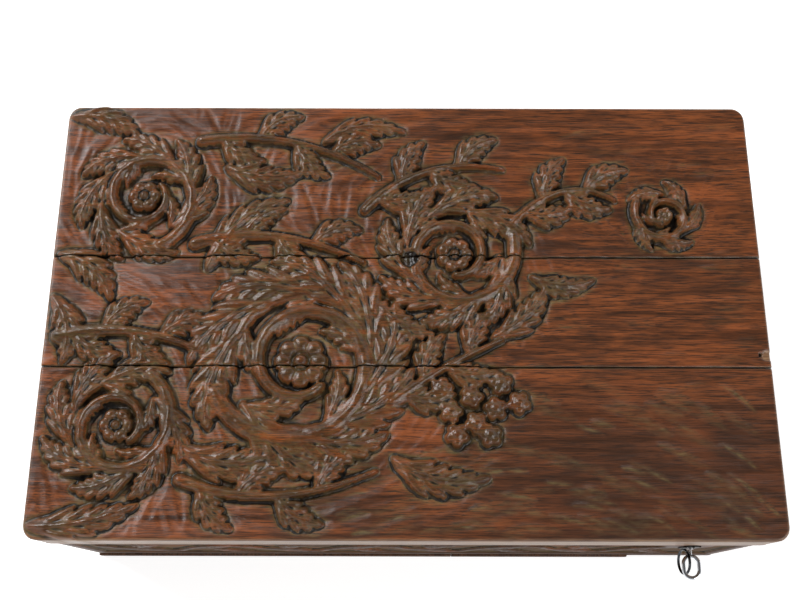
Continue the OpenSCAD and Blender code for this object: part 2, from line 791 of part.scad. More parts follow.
module key() {
    tip_y = inner_front_y - plate_t - 0.4;
    color("#d6d8da") difference() {
        union() {
            translate([key_x, tip_y, key_z]) rotate([90, 0, 0])
                cylinder(h = tip_y - front_y + barrel_out, r = barrel_r);
            translate([key_x, front_y - barrel_out, key_z]) rotate([90, 0, 0])
                cylinder(h = bow_out - barrel_out + 1, r = stem_r);
            translate([key_x, bit_y0, key_z - bit_t / 2]) cube([bit_r, bit_y1 - bit_y0, bit_t]);
            for (sx = [-1, 1])
                translate([key_x + sx * bow_mid_r, bow_near_y, key_z]) rotate([90, 0, 0])
                    cylinder(h = bow_straight, r = bow_wire_r);
            translate([key_x, bow_near_y, key_z]) rotate_extrude(angle = 180) translate([bow_mid_r, 0])
                circle(r = bow_wire_r);
            translate([key_x, bow_far_y, key_z]) rotate([0, 0, 180]) rotate_extrude(angle = 180)
                translate([bow_mid_r, 0]) circle(r = bow_wire_r);
        }
        translate([key_x, tip_y + 1, key_z]) rotate([90, 0, 0]) cylinder(h = 14, r = key_pin_r + key_pin_fit);
    }
}

module split_ring() {
    color("#4a4b4d") translate([ring_hang_x, ring_y, key_z]) rotate([0, ring_lean, 0])
        translate([0, 0, -ring_drop]) rotate([0, 90, 0]) for (dz = [-1, 1])
            translate([0, 0, dz * ring_wire_r * 0.97]) rotate_extrude() translate([ring_r, 0])
                circle(r = ring_wire_r);
}

lid_board_front();
lid_board_middle();
lid_board_back();
lid_batten_left();
lid_batten_right();
batten_screws();
front_board();
back_board();
end_board_left();
end_board_right();
bottom_board_left();
bottom_board_mid_left();
bottom_board_mid_right();
bottom_board_narrow();
corner_nails();
bottom_nails();
hinge_left_body_leaf();
hinge_left_lid_leaf();
hinge_left_pin();
hinge_right_body_leaf();
hinge_right_lid_leaf();
hinge_right_pin();
hinge_body_screws();
hinge_lid_screws();
lock_case();
lock_cap();
lock_key_pin();
lock_bolt();
lock_screws();
link_plate();
link_plate_screws();
keyhole_plate();
keyhole_plate_pins();
key();
split_ring();
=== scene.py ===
"""Dresses the keepsake box: carved and waxed oak, brass hinges, a dull steel lock and a chromed key.

Everything is in metres in the frame of the solids: the origin is the middle of the flat underside, X runs
along the front, Y from the front to the back, Z up. The carving is worked out in millimetres.
"""

import json
import math

import bmesh
import bpy
import numpy as np
from mathutils import Matrix, Vector


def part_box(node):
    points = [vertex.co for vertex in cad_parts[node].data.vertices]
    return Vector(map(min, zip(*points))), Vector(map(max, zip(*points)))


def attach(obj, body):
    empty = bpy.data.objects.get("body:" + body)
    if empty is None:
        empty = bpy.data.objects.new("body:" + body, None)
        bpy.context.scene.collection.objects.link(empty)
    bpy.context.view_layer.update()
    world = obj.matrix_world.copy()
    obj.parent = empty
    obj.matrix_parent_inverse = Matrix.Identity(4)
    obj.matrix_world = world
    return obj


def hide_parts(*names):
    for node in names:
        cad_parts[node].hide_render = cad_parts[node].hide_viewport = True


bl_info = {
    "name": "Keepsake box",
    "version": (1, 0, 0),
    "blender": (4, 5, 0),
    "location": "View3D > Sidebar > Keepsake box",
    "description": "Carved oak box with a hinged lid, a small lock and its key on a ring",
    "category": "Object",
}

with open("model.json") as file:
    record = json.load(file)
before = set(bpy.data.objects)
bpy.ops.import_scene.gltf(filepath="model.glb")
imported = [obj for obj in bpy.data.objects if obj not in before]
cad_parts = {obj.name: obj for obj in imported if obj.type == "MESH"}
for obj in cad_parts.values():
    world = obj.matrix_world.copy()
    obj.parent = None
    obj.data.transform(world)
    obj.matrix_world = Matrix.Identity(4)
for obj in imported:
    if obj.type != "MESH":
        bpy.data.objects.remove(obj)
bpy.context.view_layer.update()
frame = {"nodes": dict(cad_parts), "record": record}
MM = 0.001
# Places nearer than this to a plane count as on it
TOUCH = 0.0001

LID_BOARDS = ("lid_board_front", "lid_board_middle", "lid_board_back")
LID_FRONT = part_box("lid_board_front")
LID_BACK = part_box("lid_board_back")
LID_UNDER = LID_FRONT[0].z
LID_PEAK = LID_FRONT[1].z
BODY_FRONT_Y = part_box("front_board")[0].y
KEY_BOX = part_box("key")
KEYHOLE = Vector(((KEY_BOX[0].x + KEY_BOX[1].x) / 2, BODY_FRONT_Y, (KEY_BOX[0].z + KEY_BOX[1].z) / 2))


def srgb(text):
    """The linear colour of a hex sRGB colour."""
    channels = [int(text[i : i + 2], 16) / 255 for i in (0, 2, 4)]
    linear = [c / 12.92 if c <= 0.04045 else ((c + 0.055) / 1.055) ** 2.4 for c in channels]
    return (*linear, 1.0)


class BoxSizes(bpy.types.PropertyGroup):
    """Sizes of the visible finish, which the solids leave open."""

    carve_height: bpy.props.FloatProperty(
        name="Carving height", description="Height of the carved masses above the lid's ground",
        default=0.007, min=0.0, max=0.007, unit="LENGTH", subtype="DISTANCE")
    cell: bpy.props.FloatProperty(
        name="Carving cell", description="Width of one cell of the carved surface",
        default=0.0008, min=0.0006, max=0.003, unit="LENGTH", subtype="DISTANCE")
    lid_edge: bpy.props.FloatProperty(
        name="Lid edge", description="Radius of the worn upper edge of the lid",
        default=0.002, min=0.001, max=0.008, unit="LENGTH", subtype="DISTANCE")
    corner: bpy.props.FloatProperty(
        name="Lid corner", description="Radius of the upright corners of the lid",
        default=0.010, min=0.002, max=0.03, unit="LENGTH", subtype="DISTANCE")
    underside: bpy.props.FloatProperty(
        name="Underside", description="Height of the plain layer under the carved part of a lid board",
        default=0.003, min=0.0025, max=0.006, unit="LENGTH", subtype="DISTANCE")
    front_relief: bpy.props.FloatProperty(
        name="Front relief", description="Depth of the low carving on the front board",
        default=0.0018, min=0.0, max=0.0022, unit="LENGTH", subtype="DISTANCE")
    arris: bpy.props.FloatProperty(
        name="Arris", description="Width of the worn arrises of the plain boards",
        default=0.0012, min=0.0002, max=0.003, unit="LENGTH", subtype="DISTANCE")


class BoxColours(bpy.types.PropertyGroup):
    """Colours of the wood and of the metals."""

    oak: bpy.props.FloatVectorProperty(
        name="Stained oak", description="Reddish brown of the stained and waxed lid",
        default=srgb("8e4c21"), size=4, min=0, max=1, subtype="COLOR")
    oak_warm: bpy.props.FloatVectorProperty(
        name="Warm oak", description="Orange wood where the stain is thin",
        default=srgb("9c5124"), size=4, min=0, max=1, subtype="COLOR")
    oak_dark: bpy.props.FloatVectorProperty(
        name="Dark oak", description="Dark streaks of the grain and patches of thick stain",
        default=srgb("341f12"), size=4, min=0, max=1, subtype="COLOR")
    patina: bpy.props.FloatVectorProperty(
        name="Patina", description="Olive wax and dust that lies beside the carving",
        default=srgb("7a6a40"), size=4, min=0, max=1, subtype="COLOR")
    grime: bpy.props.FloatVectorProperty(
        name="Grime", description="Dark dirt and old wax on the carved forms",
        default=srgb("362a1b"), size=4, min=0, max=1, subtype="COLOR")
    # Painted shade: the nearly black colour laid into the deep cuts and holes, where shade falls
    crevice_shade: bpy.props.FloatVectorProperty(
        name="Crevice shade", description="Nearly black bottom of the deep cuts",
        default=srgb("150e09"), size=4, min=0, max=1, subtype="COLOR")
    bare: bpy.props.FloatVectorProperty(
        name="Bare oak", description="Pale wood where the stain is worn off",
        default=srgb("a4805c"), size=4, min=0, max=1, subtype="COLOR")
    body: bpy.props.FloatVectorProperty(
        name="Body oak", description="Greyer brown of the body",
        default=srgb("6a4831"), size=4, min=0, max=1, subtype="COLOR")
    inner: bpy.props.FloatVectorProperty(
        name="Inner oak", description="Unstained wood inside the box and under the lid",
        default=srgb("84624a"), size=4, min=0, max=1, subtype="COLOR")
    brass: bpy.props.FloatVectorProperty(
        name="Tarnished brass", description="Hinges and bolt",
        default=srgb("8d7748"), size=4, min=0, max=1, subtype="COLOR")
    floor: bpy.props.FloatVectorProperty(
        name="Floor", description="Plain pale ground that the box stands on",
        default=srgb("f4f4f4"), size=4, min=0, max=1, subtype="COLOR")


def sizes():
    return bpy.context.scene.keepsake_sizes


def colours():
    return bpy.context.scene.keepsake_colours


def add_node(tree, kind, settings=None, inputs=None, out=0):
    """Adds one node with its settings, and its inputs set or linked, and gives one of its outputs."""
    node = tree.nodes.new(kind)
    for name, value in (settings or {}).items():
        setattr(node, name, value)
    for key, value in (inputs or {}).items():
        if isinstance(value, bpy.types.NodeSocket):
            tree.links.new(value, node.inputs[key])
        else:
            node.inputs[key].default_value = value
    return node.outputs[out] if len(node.outputs) else None


def new_material(name):
    """An empty material with its output and principled shader: (material, tree, shader)."""
    made = bpy.data.materials.new(name)
    made.use_nodes = True
    tree = made.node_tree
    tree.nodes.clear()
    surface = add_node(tree, "ShaderNodeBsdfPrincipled")
    add_node(tree, "ShaderNodeOutputMaterial", inputs={"Surface": surface})
    return made, tree, surface.node


# Patterns of the wood: size of a lump along, beside and through the grain in millimetres, then detail,
# roughness and distortion. Real pores are finer than the 0.9 mm that is drawn here
WOOD_PATTERNS = {
    "pores": ((17, 0.9, 0.9), 3.0, 0.7, 0.0),
    "bands": ((120, 5, 5), 4.0, 0.6, 0.6),
}
# Noise of the stain, grime and dust, and of the patches in the painted shade of the cuts
STAIN_AND_SHADE_PATTERNS = {
    "warm patches": ((85, 34, 34), 2.0, 0.5, 0.8),
    "dark patches": ((70, 22, 22), 3.0, 0.5, 1.2),
    "grime": ((20, 14, 14), 3.0, 0.55, 0.6),
    "lumps": ((8, 2.2, 2.2), 4.0, 0.65, 0.0),
    "shade patches": ((16, 16, 16), 2.0, 0.5, 0.0),
}
# Attributes read by the carved finish; hollow also sets the painted shade of the cuts
STAIN_AND_SHADE_ATTRIBUTES = ("rub", "stain", "dust", "hollow", "worn")
PORE_DEPTH = 0.0006


def add_patterns(tree, patterns, across=False):
    """The noise of each pattern over the piece, with its grain along X, or across it along Y."""
    place = add_node(tree, "ShaderNodeTexCoord", out="Object")
    made = {}
    for name, (lump, detail, roughness, distortion) in patterns.items():
        along, beside, upright = lump
        turned = (beside, along, upright) if across else lump
        scaled = add_node(tree, "ShaderNodeMapping", inputs={
            "Vector": place, "Scale": [1 / (each * MM) for each in turned]})
        made[name] = add_node(tree, "ShaderNodeTexNoise", inputs={
            "Vector": scaled, "Scale": 1.0, "Detail": detail, "Roughness": roughness,
            "Distortion": distortion}, out="Fac")
    return made


def amount_of(tree, *factors):
    """The product of factors, each a value spread from low and high to least and most."""
    total = None
    for value, low, high, least, most in factors:
        part = add_node(tree, "ShaderNodeMapRange", inputs={
            "Value": value, "From Min": low, "From Max": high, "To Min": least, "To Max": most})
        if total is not None:
            part = add_node(tree, "ShaderNodeMath", {"operation": "MULTIPLY"}, {0: total, 1: part})
        total = part
    return total


def lay_over(tree, colour, layers):
    """Lays colours one over the other, each as thick as its amount says."""
    for over, amount in layers:
        colour = add_node(tree, "ShaderNodeMix", {"data_type": "RGBA"}, {
            0: amount, 6: colour, 7: over}, out=2)
    return colour


def oak(name, base, dark, across=False, carved=False, roughness=(0.3, 0.45), shine_level=0.5):
    """Sawn oak: dark pores in streaks along the grain, wider bands of tone, and wax that shines unevenly."""
    made, tree, shader = new_material(name)
    wood = add_patterns(tree, WOOD_PATTERNS, across)
    tone = amount_of(tree, (wood["pores"], 0.37, 0.57, 0, 1), (wood["bands"], 0.35, 0.58, 0.28, 1))
    colour = lay_over(tree, dark, [(base, tone)])
    shine = amount_of(tree, (wood["bands"], 0.3, 0.7, *roughness))
    if carved:
        colour, shine = carved_stain_and_shade(tree, tone, colour, shine)
    bump = add_node(tree, "ShaderNodeBump", inputs={
        "Height": wood["pores"], "Strength": 0.4, "Distance": PORE_DEPTH})
    tree.links.new(colour, shader.inputs["Base Color"])
    tree.links.new(shine, shader.inputs["Roughness"])
    tree.links.new(bump, shader.inputs["Normal"])
    shader.inputs["IOR"].default_value = 1.5
    shader.inputs["Specular IOR Level"].default_value = shine_level
    return made


def carved_stain_and_shade(tree, tone, colour, shine):
    """The old stain of the carved boards with painted shade: warm and dark patches, olive dust, painted shade
    nearly black in the cuts, and rubbed forms.
    """
    look = colours()
    noise = add_patterns(tree, STAIN_AND_SHADE_PATTERNS)
    field = {}
    for name in STAIN_AND_SHADE_ATTRIBUTES:
        field[name] = add_node(tree, "ShaderNodeAttribute", {"attribute_name": name}, out="Fac")
    lumps = (noise["lumps"], 0.38, 0.62, 0.1, 1)
    dust = amount_of(tree, (field["dust"], 0, 1, 0, 1), lumps)
    bare_tone = lay_over(tree, tuple(look.body), [(tuple(look.bare), tone)])
    colour = lay_over(tree, colour, [
        (tuple(look.oak_warm), amount_of(
            tree, (noise["warm patches"], 0.5, 0.7, 0, 0.65), (tone, 0.1, 0.7, 0.35, 1))),
        (tuple(look.oak_dark), amount_of(tree, (noise["dark patches"], 0.5, 0.72, 0, 0.75))),
        (tuple(look.grime), amount_of(tree, (field["rub"], 0, 1, 0, 1), (noise["grime"], 0.4, 0.6, 0, 0.62))),
        # Darker towards the front right of the lid
        (tuple(look.oak_dark), field["stain"]),
        (tuple(look.patina), amount_of(tree, (dust, 0, 1, 0, 0.8))),
        (tuple(look.patina), amount_of(tree, (field["hollow"], 0.5, 0.64, 0, 0.75), lumps)),
        # Painted shade: the deepest hollows go nearly black, in patches, where shade falls in the cuts
        (tuple(look.crevice_shade), amount_of(
            tree, (field["hollow"], 0.56, 0.78, 0, 0.98), (noise["shade patches"], 0.36, 0.56, 0.6, 1))),
        (bare_tone, field["worn"]),
    ])
    dull = add_node(tree, "ShaderNodeMath", {"operation": "MULTIPLY_ADD"}, {0: dust, 1: 0.25, 2: shine})
    return colour, amount_of(tree, (dull, 0, 1, 0, 1), (field["rub"], 0, 1, 1, 0.54))


TARNISH_MM = 3
TARNISH = (0.02, 0.015, 0.01, 1.0)


def metal(name, colour, roughness, spots=0.0):
    """A worked metal: even, or with darker tarnish in patches a few millimetres wide."""
    made, tree, shader = new_material(name)
    shader.inputs["Metallic"].default_value = 1.0
    shader.inputs["Roughness"].default_value = roughness
    shader.inputs["Base Color"].default_value = colour
    if spots:
        place = add_node(tree, "ShaderNodeTexCoord", out="Object")
        patches = add_node(tree, "ShaderNodeTexNoise", inputs={
            "Vector": place, "Scale": 1 / (TARNISH_MM * MM), "Detail": 4.0}, out="Fac")
        stained = lay_over(tree, colour, [(TARNISH, amount_of(tree, (patches, 0.42, 0.68, 0, spots)))])
        tree.links.new(stained, shader.inputs["Base Color"])
    return made


MATERIALS = {}


def material(name):
    """The finish of that name, made the first time it is asked for."""
    if not MATERIALS:
        look = colours()
        # Oak, carved, stained and waxed: red-brown streaks, painted shade nearly black in the cuts, olive
        # hollows and a soft shine
        MATERIALS["carved waxed oak"] = oak(
            "carved waxed oak", tuple(look.oak), tuple(look.oak_dark), carved=True)
        # The same oak under the lid's edge, worn dull: the wax is gone and the brown is greyer
        MATERIALS["front oak"] = oak(
            "front oak", tuple(look.body), tuple(look.oak_dark), carved=True,
            roughness=(0.7, 0.85), shine_level=0.25)
        # Planed oak, oiled: dark brown with a faint shine, its grain along the box or across it
        MATERIALS["body oak along"] = oak(
            "body oak along", tuple(look.body), tuple(look.oak_dark),
            roughness=(0.55, 0.75), shine_level=0.35)
        MATERIALS["body oak across"] = oak(
            "body oak across", tuple(look.body), tuple(look.oak_dark), across=True,
            roughness=(0.55, 0.75), shine_level=0.35)
        # Sawn oak without a finish: paler and matt
        MATERIALS["inner oak across"] = oak(
            "inner oak across", tuple(look.inner), tuple(look.body), across=True, roughness=(0.6, 0.8))
        # Arrises rubbed bare by hands: pale and nearly matt
        MATERIALS["worn oak"] = oak("worn oak", tuple(look.bare), tuple(look.inner), roughness=(0.5, 0.7))
        # Cast and filed brass: dull yellow with brown spots
        MATERIALS["tarnished brass"] = metal("tarnished brass", tuple(look.brass), 0.38, spots=0.7)
        # Rolled steel sheet: grey, blurred reflections and dark spots
        MATERIALS["dull steel"] = metal("dull steel", srgb("8b8781"), 0.42, spots=0.5)
        # Hammered iron of nails and screws: nearly black and rough
        MATERIALS["wrought iron"] = metal("wrought iron", srgb("4a4540"), 0.55, spots=0.8)
        # Blackened iron plate round the keyhole: even and dark
        MATERIALS["black iron"] = metal("black iron", srgb("2a2724"), 0.5)
        # Polished chrome plate: sharp reflections, nearly white
        MATERIALS["bright chrome"] = metal("bright chrome", srgb("cfd1d5"), 0.2)
        # Spring steel with thin plating, its colour darkened to paint in dark reflections: sharp dark
        # reflections
        MATERIALS["chrome with painted dark reflections"] = metal("chrome with painted dark reflections", srgb("4c4e52"), 0.25)
    return MATERIALS[name]


def finish_piece(name, bm, materials, body, nodes):
    """Turns a bmesh into the finished piece that stands for the given nodes."""
    mesh = bpy.data.meshes.new(name)
    bm.to_mesh(mesh)
    bm.free()
    piece = bpy.data.objects.new(name, mesh)
    bpy.context.scene.collection.objects.link(piece)
    for each in materials:
        mesh.materials.append(material(each))
    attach(piece, body)
    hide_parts(*nodes)
    return piece


def solid_copy(node):
    """A merged copy of a CAD node's mesh as a bmesh."""
    bm = bmesh.new()
    bm.from_mesh(frame["nodes"][node].data)
    bmesh.ops.remove_doubles(bm, verts=bm.verts, dist=0.000002)
    bmesh.ops.dissolve_limit(
        bm, angle_limit=math.radians(0.5), verts=bm.verts, edges=bm.edges, use_dissolve_boundaries=False)
    return bm


def lattice(seed, size=256):
    """A repeatable table of random values between 0 and 1."""
    return np.random.RandomState(seed).rand(size, size)


def soft_noise(u, v, seed):
    """Smooth noise between 0 and 1 whose lumps are one unit wide."""
    table = lattice(seed)
    size = len(table)
    iu = np.floor(u).astype(int)
    iv = np.floor(v).astype(int)
    fu = u - iu
    fv = v - iv
    fu = fu * fu * (3 - 2 * fu)
    fv = fv * fv * (3 - 2 * fv)
    a = table[iu % size, iv % size]
    b = table[(iu + 1) % size, iv % size]
    c = table[iu % size, (iv + 1) % size]
    d = table[(iu + 1) % size, (iv + 1) % size]
    return (a * (1 - fu) + b * fu) * (1 - fv) + (c * (1 - fu) + d * fu) * fv


def ramp(value, low, high):
    """0 below low, 1 above high, and smooth between them."""
    t = np.clip((value - low) / (high - low), 0, 1)
    return t * t * (3 - 2 * t)


def blur(field, cells):
    """The mean of a grid of values over a square of that many cells each way."""
    padded = np.pad(field, cells, mode="edge")
    for axis in (0, 1):
        total = np.cumsum(padded, axis=axis)
        total = np.concatenate([np.zeros_like(np.take(total, [0], axis)), total], axis)
        count = 2 * cells + 1
        high = np.take(total, range(count, total.shape[axis]), axis)
        low = np.take(total, range(0, total.shape[axis] - count), axis)
        padded = (high - low) / count
    return padded


def sweep(start, bend, end, count=60):
    """Points of a curved stroke from start to end, drawn towards bend."""
    t = np.linspace(0, 1, count)[:, None]
    return (1 - t) ** 2 * np.array(start) + 2 * t * (1 - t) * np.array(bend) + t**2 * np.array(end)


class Carving:
    """A carved ground in millimetres: strokes are raised on it one over the other, or cut into it."""

    def __init__(self, x, y):
        self.x = x
        self.y = y
        self.raised = np.zeros_like(x)
        self.cover = np.zeros_like(x)
        self.cut = np.zeros_like(x)

    def near(self, curve, reach):
        """Where a curve passes: (mask, share along the curve, signed distance beside it)."""
        low = curve.min(0) - reach
        high = curve.max(0) + reach
        mask = (self.x > low[0]) & (self.x < high[0]) & (self.y > low[1]) & (self.y < high[1])
        points = np.stack([self.x[mask], self.y[mask]], 1)
        if not len(points):
            return mask, np.zeros(0), np.zeros(0)
        gap = ((points[:, None, :] - curve[None]) ** 2).sum(-1)
        best = gap.argmin(1)
        along = np.gradient(curve, axis=0)
        along /= np.linalg.norm(along, axis=1)[:, None]
        off = points - curve[best]
        side = along[best, 0] * off[:, 1] - along[best, 1] * off[:, 0]
        past = (along[best] * off).sum(1)
        distance = np.sign(side) * np.sqrt(gap[np.arange(len(best)), best])
        share = best / (len(curve) - 1)
        ended = ((best == 0) & (past < 0)) | ((best == len(curve) - 1) & (past > 0))
        return mask, share, np.where(ended, np.sign(distance + 1e-9) * (np.abs(distance) + 0.5), distance)

    def raise_to(self, mask, height, inside):
        """Lifts the ground to a height where the stroke covers it."""
        self.raised[mask] = np.maximum(self.raised[mask], np.where(inside, height, 0))
        self.cover[mask] = np.maximum(self.cover[mask], inside * 1.0)

    def stem(self, curve, width, height, taper=0.5):
        """A round stem with a fine groove along each side and a rope-like twist in its light."""
        mask, share, off = self.near(curve, width + 2)
        half = width * (1 - taper * share)
        u = np.clip(np.abs(off) / np.maximum(half, 0.1), 0, 1)
        twist = 0.05 * np.sin(share * len(curve) * 0.9 + off * 0.9)
        form = np.sqrt(1 - u**2) - 0.26 * np.exp(-(((u - 0.6) / 0.13) ** 2)) + twist
        self.raise_to(mask, height * (0.3 + 0.7 * form), np.abs(off) < half)

    def leaf(self, start, bend, end, width, height, lobes):
        """An acanthus leaf with a midrib, lobed edges and flutes that run out to them."""
        curve = sweep(start, bend, end)
        mask, share, off = self.near(curve, width * 1.4)
        away = np.abs(off)
        slant = np.clip(share - 0.3 * away / width, 0, 1)
        notch = np.abs(np.sin(math.pi * lobes * slant)) ** 0.6
        hull = width * np.sin(math.pi * np.clip(share * 0.93 + 0.05, 0, 1) ** 0.75) ** 0.8
        half = hull * (0.66 + 0.4 * notch)
        u = np.clip(away / np.maximum(half, 0.3), 0, 1)
        flute = 0.5 + 0.5 * np.cos(2 * math.pi * lobes * slant + math.pi)
        cup = 0.62 + 0.38 * np.cos(2 * math.pi * (0.5 - u * 0.62)) * -1
        form = (1 - u**4) ** 0.5 * (0.5 + 0.3 * flute + 0.3 * cup)
        form += 0.32 * np.exp(-((away / 1.2) ** 2)) - 0.3 * np.exp(-(((away - 2.5) / 1.0) ** 2))
        roll = 0.5 + 0.5 * np.sin(math.pi * share**0.8)
        self.raise_to(mask, height * np.clip(form, 0.1, 1.15) * roll, (away < half) & (hull > 0.4))

    def rosette(self, cx, cy, r, petals, height, turn=0.0):
        """A round flower: a ring of petals round a button."""
        mask = (self.x - cx) ** 2 + (self.y - cy) ** 2 < (r * 1.1) ** 2
        dx = self.x[mask] - cx
        dy = self.y[mask] - cy
        out = np.hypot(dx, dy) / r
        scallop = np.abs(np.cos(petals * (np.arctan2(dy, dx) + turn) / 2))
        edge = 0.82 + 0.18 * scallop**0.6
        petal = np.sqrt(np.clip(1 - ((out - 0.64) / 0.4) ** 2, 0, 1)) * (0.45 + 0.5 * scallop**0.5)
        button = np.sqrt(np.clip(1 - (out / 0.32) ** 2, 0, 1))
        form = np.maximum(petal * 0.9, button)
        form = np.where((out > 0.28) & (out < 0.36), form * 0.35, form)
        self.raise_to(mask, height * np.clip(form, 0.1, 1), out < edge)

    def berry(self, cx, cy, r, height):
        """A round berry with a small dimple."""
        mask = (self.x - cx) ** 2 + (self.y - cy) ** 2 < r**2
        out = np.hypot(self.x[mask] - cx, self.y[mask] - cy) / r
        dome = np.sqrt(np.clip(1 - out**2, 0, 1)) - 0.25 * np.exp(-((out / 0.16) ** 2))
        self.raise_to(mask, height * (0.2 + 0.8 * dome), out < 1)

    def gouge(self, curve, width, depth):
        """One hollow stroke of a round gouge, shallow at both ends, with a fine ridge at its rim."""
        mask, share, off = self.near(curve, width + 1)
        run = np.sin(math.pi * np.clip(share, 0, 1)) ** 0.6
        u = np.abs(off) / (width * (0.45 + 0.55 * run))
        hollow = np.clip(1 - u**2, 0, 1) * run - 0.16 * np.exp(-(((u - 1.08) / 0.16) ** 2)) * run
        self.cut[mask] = np.maximum(self.cut[mask], depth * hollow)


# The layout is the one of the solids, on a lid of this length and depth in millimetres
LAYOUT = (500, 314)
# Scrolls: middle, radius, where the stem starts in degrees, way it winds, leaves round it, petals
SCROLLS = (
    (-72, -38, 62, 200, 1, 9, 8),
    (34, 40, 44, 20, -1, 7, 7),
    (-188, 84, 40, 290, 1, 7, 6),
    (-194, -82, 40, 60, -1, 7, 6),
    (184, 70, 22, 150, 1, 5, 5),
)
SPIRAL_TURN = 470
SPIRAL_IN = 0.35
# Stems between the scrolls: start, the point they bend towards, end, half their width
RUNS = (
    ((-240, -20), (-190, -8), (-142, -30), 5.5),
    ((-150, 48), (-96, 66), (-30, 34), 5.0),
    ((-150, 128), (-80, 140), (-20, 100), 4.2),
    ((76, 64), (112, 104), (150, 82), 3.6),
    ((-30, 74), (10, 118), (70, 106), 3.8),
    ((-10, -66), (24, -40), (66, -22), 4.0),
    ((-150, -118), (-90, -142), (-20, -112), 4.5),
)
# Loose leaves: stalk, the point they bend towards, tip, half their width
SPRAYS = (
    ((-244, 40), (-214, 34), (-206, 6), 12), ((-246, 8), (-226, -14), (-236, -40), 11),
    ((-150, -96), (-118, -118), (-84, -98), 13), ((-246, 148), (-214, 150), (-196, 132), 10),
    ((-246, -148), (-210, -150), (-176, -134), 11), ((-140, 30), (-120, 74), (-84, 82), 12),
    ((-130, 108), (-104, 92), (-74, 104), 11), ((-20, 4), (-6, -16), (20, -18), 10),
    ((60, -20), (88, -8), (98, 18), 10), ((-8, -104), (18, -126), (56, -116), 12),
    ((88, 24), (108, 10), (132, 22), 8), ((-60, 128), (-34, 146), (0, 136), 9),
)
BERRIES = (
    (44, -62), (60, -70), (47, -80), (30, -72), (64, -53), (76, -66), (24, -56), (56, -88), (34, -88),
)


def bent(cx, cy, r, angle, share):
    """A point at an angle in degrees and a share of the radius from the middle of a scroll."""
    return (cx + share * r * math.cos(math.radians(angle)), cy + share * r * math.sin(math.radians(angle)))


def carve_scrolls(work, peak):
    """The scrolling stems with their leaves and rosettes."""
    for cx, cy, r, start, way, leaves, petals in SCROLLS:
        for i in range(leaves):
            a = start + way * (i + 0.5) * 330 / leaves
            work.leaf(
                bent(cx, cy, r, a, 0.78), bent(cx, cy, r, a + way * 43, 1.16),
                bent(cx, cy, r, a + way * 66, 1.24), 0.24 * r, peak * (0.66 + 0.1 * (i % 2)), 5)
        for i in range(5):
            a = start + way * (i * 72 + 20)
            work.leaf(
                bent(cx, cy, r, a, 0.74), bent(cx, cy, r, a + way * 35, 0.6),
                bent(cx, cy, r, a + way * 57, 0.4), 0.13 * r, peak * 0.56, 4)
        t = np.linspace(0, 1, 150)
        angle = np.radians(start + way * t * SPIRAL_TURN)
        reach = r * SPIRAL_IN**t
        winding = np.stack([cx + reach * np.cos(angle), cy + reach * np.sin(angle)], 1)
        work.stem(winding, 0.085 * r + 1.4, peak * 0.84, 0.45)
        work.rosette(cx, cy, r * 0.3, petals, peak * 0.99)


def carve_links(work, peak):
    """The stems that run from scroll to scroll, with the leaves that wrap them."""
    for start, bend, end, width in RUNS:
        curve = sweep(start, bend, end, 90)
        for k in range(4):
            i = int((0.12 + 0.2 * k) * (len(curve) - 1))
            on = curve[i + 2] - curve[i - 2]
            on /= np.linalg.norm(on)
            out = np.array([-on[1], on[0]]) * (1 if k % 2 else -1)
            work.leaf(
                curve[i], curve[i] + 10 * on + 18 * out, curve[i] + 30 * on + 20 * out, 9.5, peak * 0.66, 4)
        work.stem(curve, width, peak * 0.72, 0.6)


def carve_sprays(work, peak):
    """The loose leaves and the berries."""
    for start, bend, end, width in SPRAYS:
        work.leaf(start, bend, end, width, peak * 0.66, 5)
    for k, (cx, cy) in enumerate(BERRIES):
        for i in range(5):
            x, y = bent(cx, cy, 8.2, 72 * i + 25 * k, 0.58)
            work.berry(x, y, 3.9, peak * (0.6 + 0.05 * (i % 3)))
        work.berry(cx, cy, 4.2, peak * 0.9)


def carve_waves(work):
    """Short curved strokes of the gouge that flow round the scrolls and fade out over the plain part."""
    chance = np.random.RandomState(41)
    for gx in range(-252, 250, 13):
        for gy in range(-156, 160, 12):
            x = gx + chance.uniform(-6, 6)
            y = gy + chance.uniform(-5, 5)
            pull = np.zeros(2)
            for cx, cy, r, way in ((*scroll[:3], scroll[4]) for scroll in SCROLLS):
                away = np.hypot(x - cx, y - cy)
                fade = math.exp(-((away / (1.9 * r)) ** 2))
                pull += way * np.array([-(y - cy), x - cx]) / (away + 1) * fade
            strength = min(1.0, float(np.linalg.norm(pull)) + 0.15 * (x < 60))
            direction = pull + np.array([0.55, 0.12 * chance.uniform(-1, 1)]) * (1 - strength)
            direction /= np.linalg.norm(direction)
            beside = np.array([-direction[1], direction[0]])
            length = chance.uniform(13, 24)
            arch = chance.uniform(-4, 6)
            middle = np.array([x, y])
            on = direction * length
            curve = sweep(middle - on, middle + beside * arch, middle + on, 24)
            work.gouge(curve, chance.uniform(2.6, 4.6), (0.3 + 0.9 * strength) * chance.uniform(0.7, 1.1))


def carve_ripples(work):
    """Shallow strokes of the gouge over the plain part: they rise at its left end and fall at its right."""
    chance = np.random.RandomState(7)
    for k in range(230):
        low_part = k % 3 > 0
        x = chance.uniform(-80, 238)
        y = -153 + 98 * chance.uniform(0, 1) ** 1.3 if low_part else chance.uniform(-55, 150)
        steep = 22 - 58 * (x + 80) / 318 if low_part else 6
        slope = math.radians(steep + chance.uniform(-9, 9))
        on = np.array([math.cos(slope), math.sin(slope)]) * chance.uniform(8, 19)
        arch = np.array([-on[1], on[0]]) * chance.uniform(0.05, 0.3)
        middle = np.array([x, y])
        depth = chance.uniform(0.5, 1.2) * (1.0 if low_part else 0.45)
        work.gouge(sweep(middle - on, middle + arch, middle + on, 30), chance.uniform(2.4, 4.4), depth)


